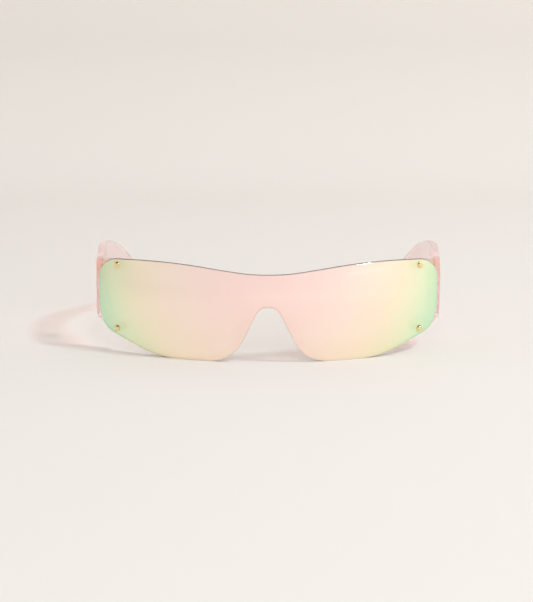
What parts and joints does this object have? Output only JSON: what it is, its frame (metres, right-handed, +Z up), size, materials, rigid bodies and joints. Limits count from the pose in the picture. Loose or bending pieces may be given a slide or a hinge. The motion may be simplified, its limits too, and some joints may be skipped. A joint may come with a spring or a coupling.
{
  "type": "shield sunglasses",
  "caption": "Rimless shield sunglasses: one mirrored spherical lens with a nose notch, clear endpieces fixed by domed studs, and wide clear temples that fold on screw hinges.",
  "frame": {"origin": "on the surface that the glasses stand on, under the middle of their box", "axes": "+X to the wearer's left, +Y from the lens towards the ears, +Z up"},
  "size_m": [0.1482, 0.1494, 0.04],
  "materials": {
    "mirrored_lens": "polycarbonate with a pink, yellow and green mirror coating",
    "pink_polyamide": "clear pink, polished moulding",
    "gold_metal": "gold plated, polished",
    "clear_nylon": "clear moulding",
    "clear_silicone": "clear, satin"
  },
  "bodies": {
    "front": {"shield_lens": "mirrored_lens", "left_endpiece": "pink_polyamide", "right_endpiece": "pink_polyamide", "left_hinge_front_leaf": "gold_metal", "left_hinge_screw": "gold_metal", "left_upper_stud": "gold_metal", "left_lower_stud": "gold_metal", "left_upper_nut": "gold_metal", "left_lower_nut": "gold_metal", "right_hinge_front_leaf": "gold_metal", "right_hinge_screw": "gold_metal", "right_upper_stud": "gold_metal", "right_lower_stud": "gold_metal", "right_upper_nut": "gold_metal", "right_lower_nut": "gold_metal", "left_upper_bush": "clear_nylon", "left_lower_bush": "clear_nylon", "right_upper_bush": "clear_nylon", "right_lower_bush": "clear_nylon", "left_nose_pad": "clear_silicone", "right_nose_pad": "clear_silicone"},
    "left_temple": {"left_temple": "pink_polyamide", "left_hinge_temple_leaf": "gold_metal"},
    "right_temple": {"right_temple": "pink_polyamide", "right_hinge_temple_leaf": "gold_metal"}
  },
  "joints": [
    {"name": "left_temple_fold", "type": "hinge", "parent": "front", "child": "left_temple", "pos_m": [0.0694, -0.03428, 0.0316], "axis": [0, 0, 1], "range_deg": [0, 90]},
    {"name": "right_temple_fold", "type": "hinge", "parent": "front", "child": "right_temple", "pos_m": [-0.0694, -0.03428, 0.0316], "axis": [0, 0, -1], "range_deg": [0, 84]}
  ]
}
